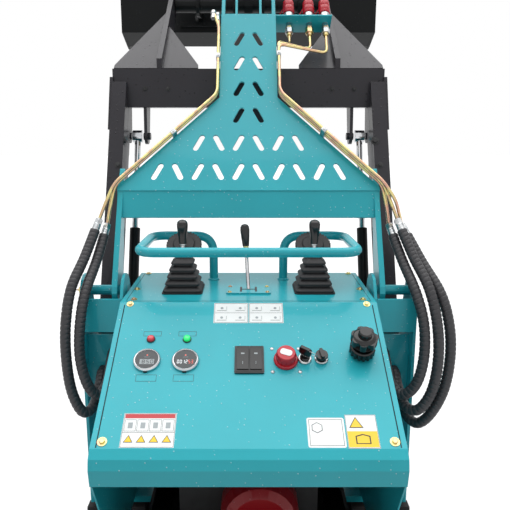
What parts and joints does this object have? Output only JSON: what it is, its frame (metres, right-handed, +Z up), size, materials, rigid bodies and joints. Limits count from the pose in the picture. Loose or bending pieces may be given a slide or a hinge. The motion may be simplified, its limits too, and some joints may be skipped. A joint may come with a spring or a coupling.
{
  "type": "mini skid steer loader",
  "caption": "Compact stand-behind tracked skid steer loader with raised lift arms and a bucket, a sloped control panel, levers, a handrail, hoses and steel tubes.",
  "frame": {"origin": "on the ground under the middle of the machine's box without its hoses", "axes": "+Z up, +Y forward towards the bucket, +X to the operator's right"},
  "size_m": [1.1396, 2.1118, 2.44],
  "materials": {
    "teal_paint": "glossy teal enamel on steel",
    "dark_paint": "semi-gloss dark grey enamel on steel",
    "black_paint": "semi-gloss black enamel on steel",
    "red_paint": "glossy red enamel on sheet steel",
    "red_plastic": "glossy red moulded plastic",
    "plastic": "black moulded plastic and rubber",
    "rubber": "black rubber",
    "cast_iron": "dark cast iron",
    "chrome": "hard chrome plated rod",
    "zinc": "yellow zinc plated steel tube"
  },
  "bodies": {
    "chassis": {"chassis_frame": "black_paint", "track_left": "rubber", "track_right": "rubber", "track_frame_left": "black_paint", "track_frame_right": "black_paint", "sprocket_left": "cast_iron", "sprocket_right": "cast_iron", "idler_left": "cast_iron", "idler_right": "cast_iron", "tower_left": "teal_paint", "tower_right": "teal_paint", "console_shell": "teal_paint", "front_body": "teal_paint", "handrail": "teal_paint", "joystick_left": "plastic", "joystick_right": "plastic", "centre_lever": "plastic", "gauge_left": "plastic", "gauge_right": "plastic", "switch_block": "plastic", "battery_switch": "red_plastic", "start_switch": "plastic", "lamp_switch": "plastic", "throttle_knob": "plastic", "engine_block": "cast_iron", "engine_shroud": "red_paint", "air_cleaner": "plastic", "muffler": "black_paint", "hose_left_1": "rubber", "hose_left_2": "rubber", "hose_right_1": "rubber", "hose_right_2": "rubber", "hose_right_3": "rubber"},
    "platform": {"rear_platform": "black_paint"},
    "lift_arm": {"lift_arm": "dark_paint"},
    "upper_arm": {"upper_arm": "teal_paint", "coupler_bracket": "teal_paint", "steel_tubes_right": "zinc", "steel_tubes_left": "zinc"},
    "head": {"levelling_head": "black_paint"},
    "attachment": {"quick_attach": "black_paint", "bucket": "black_paint"},
    "lift_barrel_left": {"lift_barrel_left": "black_paint"},
    "lift_barrel_right": {"lift_barrel_right": "black_paint"},
    "lift_rod_left": {"lift_rod_left": "chrome"},
    "lift_rod_right": {"lift_rod_right": "chrome"},
    "tilt_barrel": {"tilt_barrel": "black_paint"},
    "tilt_rod": {"tilt_rod": "chrome"}
  },
  "joints": [
    {"name": "lift", "type": "hinge", "parent": "chassis", "child": "lift_arm", "pos_m": [0, -0.46386, 0.85], "axis": [1, 0, 0], "range_deg": [-82, 0]},
    {"name": "upper_follow", "type": "hinge", "parent": "chassis", "child": "upper_arm", "pos_m": [0, -0.52386, 1.12], "axis": [1, 0, 0], "range_deg": [-82, 0]},
    {"name": "head_level", "type": "hinge", "parent": "lift_arm", "child": "head", "pos_m": [0, 0.36614, 2.08], "axis": [1, 0, 0], "range_deg": [0, 82]},
    {"name": "bucket_tilt", "type": "hinge", "parent": "head", "child": "attachment", "pos_m": [0, 0.48614, 2.08], "axis": [1, 0, 0], "range_deg": [-45, 25]},
    {"name": "lift_barrel_left_swing", "type": "hinge", "parent": "chassis", "child": "lift_barrel_left", "pos_m": [-0.395, -0.43386, 0.62], "axis": [1, 0, 0], "range_deg": [-74, 0]},
    {"name": "lift_barrel_right_swing", "type": "hinge", "parent": "chassis", "child": "lift_barrel_right", "pos_m": [0.395, -0.43386, 0.62], "axis": [1, 0, 0], "range_deg": [-74, 0]},
    {"name": "lift_rod_left_slide", "type": "slide", "parent": "lift_barrel_left", "child": "lift_rod_left", "axis": [0, 0.3663, 0.9305], "range_m": [-0.279, 0]},
    {"name": "lift_rod_right_slide", "type": "slide", "parent": "lift_barrel_right", "child": "lift_rod_right", "axis": [0, 0.3663, 0.9305], "range_m": [-0.279, 0]},
    {"name": "tilt_barrel_swing", "type": "hinge", "parent": "head", "child": "tilt_barrel", "pos_m": [0, 0.36614, 2.08], "axis": [1, 0, 0], "range_deg": [-38.3, 21.3]},
    {"name": "tilt_rod_slide", "type": "slide", "parent": "tilt_barrel", "child": "tilt_rod", "axis": [0, 0.3162, 0.9487], "range_m": [-0.046, 0.083]},
    {"name": "platform_fold", "type": "hinge", "parent": "chassis", "child": "platform", "pos_m": [0, -1.02886, 0.185], "axis": [1, 0, 0], "range_deg": [0, 88]}
  ],
  "couplings": [
    {"joint": "upper_follow", "follows": "lift", "ratio": 1},
    {"joint": "head_level", "follows": "lift", "ratio": -1},
    {"joint": "lift_barrel_left_swing", "follows": "lift", "ratio": 0.8999},
    {"joint": "lift_barrel_right_swing", "follows": "lift", "ratio": 0.8999},
    {"joint": "lift_rod_left_slide", "follows": "lift", "m_per_rad": 0.19448},
    {"joint": "lift_rod_right_slide", "follows": "lift", "m_per_rad": 0.19448},
    {"joint": "tilt_barrel_swing", "follows": "bucket_tilt", "ratio": 0.85},
    {"joint": "tilt_rod_slide", "follows": "bucket_tilt", "m_per_rad": -0.105}
  ]
}
